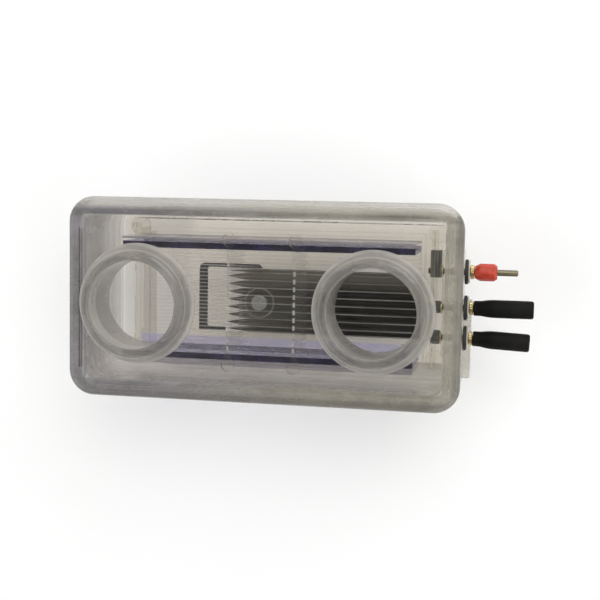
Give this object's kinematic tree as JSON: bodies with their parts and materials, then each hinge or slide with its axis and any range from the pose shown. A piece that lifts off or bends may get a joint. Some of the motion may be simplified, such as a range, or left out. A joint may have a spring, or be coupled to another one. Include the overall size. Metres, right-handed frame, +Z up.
{
  "type": "gel electrophoresis tank",
  "caption": "Clear rectangular gel electrophoresis tank with a lift-off lid carrying round open ports, a violet-walled ribbed tray with combs over a black lane plate, and end terminals.",
  "frame": {"origin": "under the middle of the whole object, terminals and sleeves included, on the surface it stands on", "axes": "+X out of the end wall with the terminals, +Y towards the side nearer the red terminal, +Z up through the lid's ports"},
  "size_m": [0.3044, 0.1324, 0.1015],
  "materials": {
    "clear_tank": "clear moulded acrylic, slightly hazed",
    "clear_lid": "clear moulded acrylic with a grey haze and fine scratches",
    "frosted_port": "thick glossy clear plastic, smoky at the edges",
    "clear_insert": "clear acrylic",
    "violet_acrylic": "violet-tinted clear acrylic, dark along its edges",
    "black_lane": "black moulded plastic, satin",
    "dark_key": "dark grey plastic",
    "black_rubber": "matt black rubber",
    "clear_foot": "soft clear silicone",
    "black_sleeve": "matt black moulded plastic",
    "red_plastic": "red moulded plastic",
    "pale_nut": "pale translucent nylon",
    "brass": "brass, lightly tarnished",
    "nickel_pin": "nickel-plated brass, worn",
    "platinum": "bright drawn wire"
  },
  "bodies": {
    "tank": {"tank_body": "clear_tank", "comb_guide_north": "clear_insert", "comb_guide_south": "clear_insert", "terminal_pad": "clear_insert", "terminal_block": "clear_insert", "side_ledge": "clear_insert", "electrode_carrier_left": "clear_insert", "electrode_carrier_right": "clear_insert", "lid_key": "dark_key", "clamp_block_red": "dark_key", "inner_nut_black_mid": "dark_key", "inner_nut_black_low": "dark_key", "washer_red": "black_rubber", "washer_black_mid": "black_rubber", "washer_black_low": "black_rubber", "foot_left_south": "clear_foot", "foot_left_north": "clear_foot", "foot_right_south": "clear_foot", "foot_right_north": "clear_foot", "flange_nut_red": "pale_nut", "flange_nut_black_mid": "pale_nut", "flange_nut_black_low": "pale_nut", "collar_red": "brass", "collar_black_mid": "brass", "collar_black_low": "brass", "solder_lug_red": "brass", "solder_lug_black_mid": "brass", "solder_lug_black_low": "brass", "stud_red": "nickel_pin", "stud_black_mid": "nickel_pin", "stud_black_low": "nickel_pin", "electrode_wire_left": "platinum", "electrode_wire_right": "platinum", "lead_left": "platinum", "lead_right": "platinum"},
    "lid": {"lid": "clear_lid", "port_collar_left": "frosted_port", "port_collar_right": "frosted_port"},
    "tray": {"tray_floor": "clear_insert", "tray_wall_north": "violet_acrylic", "tray_wall_south": "violet_acrylic"},
    "comb_left": {"comb_left": "clear_insert"},
    "comb_right": {"comb_right": "clear_insert"},
    "lane_plate": {"lane_plate": "black_lane", "finger_loop": "black_lane"},
    "red_cap": {"red_cap": "red_plastic"},
    "sleeve_mid": {"sleeve_black_mid": "black_sleeve"},
    "sleeve_low": {"sleeve_black_low": "black_sleeve"}
  },
  "joints": [
    {"name": "lid_lift", "type": "slide", "parent": "tank", "child": "lid", "axis": [0, 0, 1], "range_m": [0, 0.08]},
    {"name": "tray_lift", "type": "slide", "parent": "tank", "child": "tray", "axis": [0, 0, 1], "range_m": [0, 0.002]},
    {"name": "comb_left_lift", "type": "slide", "parent": "tray", "child": "comb_left", "axis": [0, 0, 1], "range_m": [0, 0.007]},
    {"name": "comb_right_lift", "type": "slide", "parent": "tray", "child": "comb_right", "axis": [0, 0, 1], "range_m": [0, 0.007]},
    {"name": "lane_plate_slide", "type": "slide", "parent": "tank", "child": "lane_plate", "axis": [-1, 0, 0], "range_m": [0, 0.055]},
    {"name": "red_cap_turn", "type": "hinge", "parent": "tank", "child": "red_cap", "pos_m": [0.12085, 0.0225, 0.06], "axis": [1, 0, 0], "continuous": true},
    {"name": "sleeve_mid_pull", "type": "slide", "parent": "tank", "child": "sleeve_mid", "axis": [1, 0, 0], "range_m": [0, 0.03]},
    {"name": "sleeve_low_pull", "type": "slide", "parent": "tank", "child": "sleeve_low", "axis": [0.999, -0.0454, 0], "range_m": [0, 0.03]}
  ]
}
